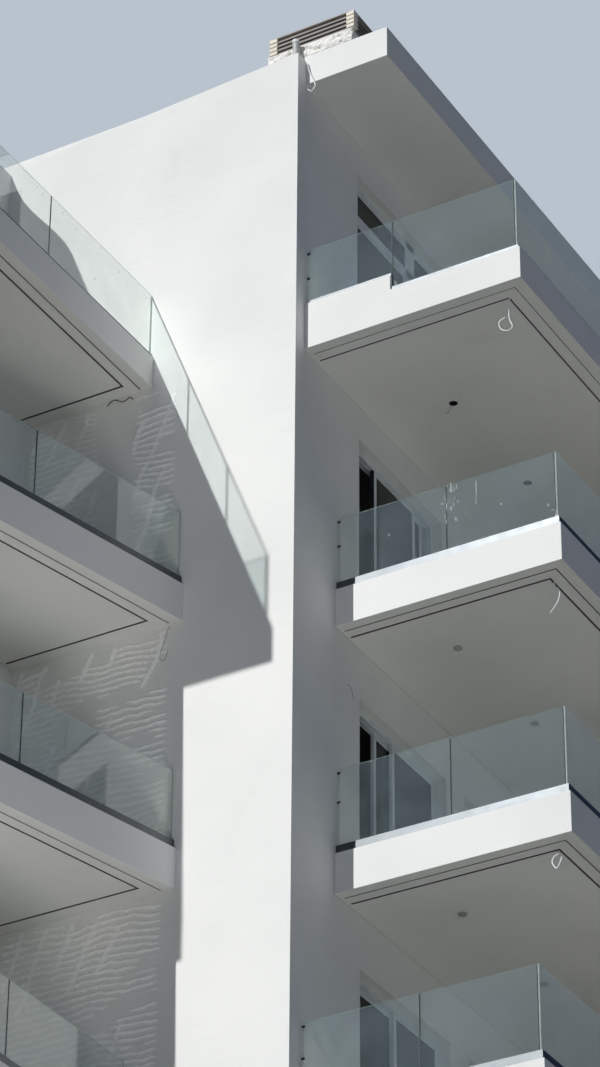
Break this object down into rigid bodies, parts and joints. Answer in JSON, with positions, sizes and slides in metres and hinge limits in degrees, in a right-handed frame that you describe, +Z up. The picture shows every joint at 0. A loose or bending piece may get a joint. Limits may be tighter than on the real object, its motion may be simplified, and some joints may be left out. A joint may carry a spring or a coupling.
{
  "type": "apartment block",
  "caption": "White rendered apartment block on two wings, hollow, with stacked concrete balconies, frameless glass balustrades, sliding doors and a roof chimney.",
  "frame": {"origin": "middle of the base's bounding rectangle, on the ground", "axes": "+Z up; +X out of both balcony facades; +Y along the facades from the near left wing to the far end of the right wing"},
  "size_m": [14.107, 17.3, 30.17],
  "materials": {
    "white_render": "smooth painted render",
    "concrete": "fair-faced concrete",
    "rough_plaster": "rough thrown plaster",
    "clear_glass": "clear laminated",
    "door_glass": "dark reflecting double glazing",
    "satin_aluminium": "satin anodised",
    "frame_grey": "light grey powder coat",
    "cowl_grey": "matt grey",
    "pipe_plastic": "matt",
    "light_fitting": "satin",
    "cable_sheath": "satin"
  },
  "bodies": {
    "root": {"gable_wall": "white_render", "near_end_wall": "white_render", "far_end_wall": "white_render", "right_facade_piers": "white_render", "right_facade_spandrels": "white_render", "right_top_wall": "white_render", "left_facade_piers": "white_render", "left_facade_spandrels": "white_render", "left_top_wall": "white_render", "back_facade_piers": "white_render", "back_facade_spandrels": "white_render", "floor_slabs_right": "concrete", "floor_slabs_left": "concrete", "roof_slab_right": "white_render", "roof_slab_left": "white_render", "balcony_right_1": "white_render", "balcony_right_2": "white_render", "balcony_right_3": "white_render", "balcony_right_4": "white_render", "balcony_right_5": "white_render", "balcony_right_6": "white_render", "balcony_right_7": "white_render", "balcony_right_8": "white_render", "balcony_left_1": "white_render", "balcony_left_2": "white_render", "balcony_left_3": "white_render", "balcony_left_4": "white_render", "balcony_left_5": "white_render", "balcony_left_6": "white_render", "balcony_left_7": "white_render", "balcony_left_8": "white_render", "channels_right": "satin_aluminium", "channels_left": "satin_aluminium", "balustrade_glass_right": "clear_glass", "balustrade_glass_left": "clear_glass", "door_frames_right": "frame_grey", "door_glass_right": "door_glass", "door_frames_left": "frame_grey", "door_glass_left": "door_glass", "window_frames_back": "frame_grey", "window_glass_back": "door_glass", "chimney": "rough_plaster", "chimney_cowl": "cowl_grey", "vent_pipe": "pipe_plastic", "soffit_lights": "light_fitting", "cable_tail_roof": "cable_sheath", "cable_tail_8": "cable_sheath", "cable_tail_7": "cable_sheath", "cable_tail_6": "cable_sheath"}
  },
  "joints": []
}
